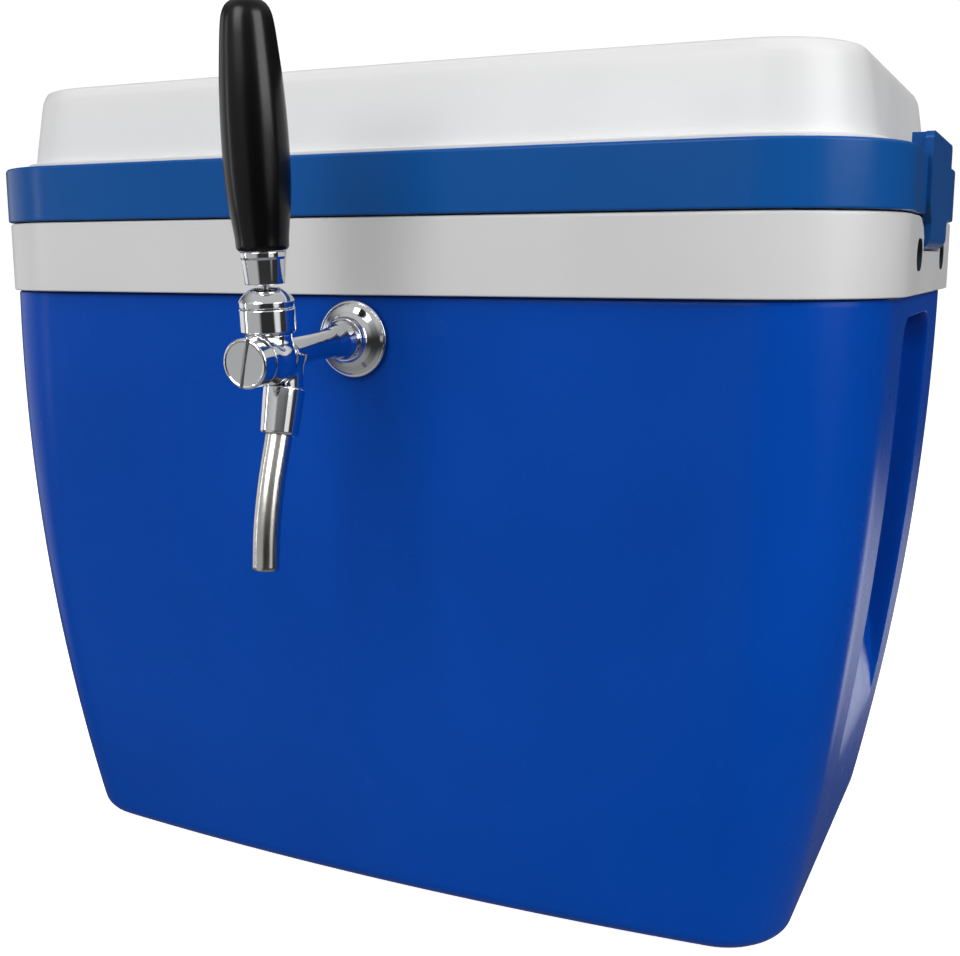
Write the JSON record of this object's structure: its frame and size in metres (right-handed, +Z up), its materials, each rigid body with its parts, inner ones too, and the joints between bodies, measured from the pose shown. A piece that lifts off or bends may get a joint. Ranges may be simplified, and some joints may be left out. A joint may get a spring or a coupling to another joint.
{
  "type": "portable draught beer cooler",
  "caption": "Insulated picnic box with a lift-off lid, swinging end handles, an inner cooling coil and a chrome beer tap through the front wall.",
  "frame": {"origin": "centre of the flat base, on the surface that the box stands on", "axes": "+X along the box's length, -Y out of the front wall that carries the tap, +Z up"},
  "size_m": [0.4734, 0.4009, 0.4082],
  "materials": {
    "blue_body": "smooth moulded plastic, satin gloss",
    "blue_trim": "smooth moulded plastic, satin gloss",
    "pale_collar": "smooth pale grey-white plastic",
    "white_lid": "fine-textured white plastic",
    "white_liner": "smooth white plastic",
    "foam": "rigid insulating foam",
    "chrome": "polished chrome plating",
    "stainless_steel": "drawn stainless tube and turned fittings",
    "black_handle": "gloss black",
    "rubber": "matt black rubber"
  },
  "bodies": {
    "cooler": {"outer_shell": "blue_body", "collar": "pale_collar", "inner_liner": "white_liner", "body_foam": "foam", "tap_flange": "chrome", "faucet_body": "chrome", "front_cap": "chrome", "bonnet_ring": "chrome", "bonnet_nut": "chrome", "spout_socket": "chrome", "spout_tube": "stainless_steel", "tap_shank": "stainless_steel", "shank_nut": "stainless_steel", "cooling_coil": "stainless_steel", "coil_outlet_nut": "stainless_steel", "coil_inlet_nut": "stainless_steel", "inlet_fitting": "stainless_steel", "inlet_nut": "stainless_steel", "hinge_pin_right": "stainless_steel", "hinge_pin_left": "stainless_steel", "coil_strap_front_right": "stainless_steel", "coil_strap_front_left": "stainless_steel", "coil_strap_back_right": "stainless_steel", "coil_strap_back_left": "stainless_steel", "flange_seal": "rubber", "shank_washer": "rubber", "inlet_seal": "rubber", "inlet_washer": "rubber"},
    "lid": {"lid_rim": "blue_trim", "lid_top": "white_lid", "lid_foam": "foam", "lid_pan": "white_liner"},
    "handle_right": {"handle_right": "blue_trim"},
    "handle_left": {"handle_left": "blue_trim"},
    "tap_lever": {"lever_stem": "stainless_steel", "lever_ferrule": "chrome", "tap_handle": "black_handle"},
    "plunger": {"valve_plunger": "stainless_steel", "plunger_seal": "rubber"}
  },
  "joints": [
    {"name": "lid_lift", "type": "slide", "parent": "cooler", "child": "lid", "axis": [0, 0, 1], "range_m": [0, 0.15]},
    {"name": "handle_right_swing", "type": "hinge", "parent": "cooler", "child": "handle_right", "pos_m": [0.2312, 0, 0.3195], "axis": [0, 1, 0], "range_deg": [0, 100]},
    {"name": "handle_left_swing", "type": "hinge", "parent": "cooler", "child": "handle_left", "pos_m": [-0.2312, 0, 0.3195], "axis": [0, -1, 0], "range_deg": [0, 100]},
    {"name": "tap_lever_swing", "type": "hinge", "parent": "cooler", "child": "tap_lever", "pos_m": [0.003, -0.21351, 0.28702], "axis": [1, 0, 0], "range_deg": [-12, 16]},
    {"name": "plunger_slide", "type": "slide", "parent": "cooler", "child": "plunger", "axis": [0, 0.9976, 0.0698], "range_m": [-0.0036, 0.0047]}
  ],
  "couplings": [
    {"joint": "plunger_slide", "follows": "tap_lever_swing", "m_per_rad": 0.0165}
  ]
}
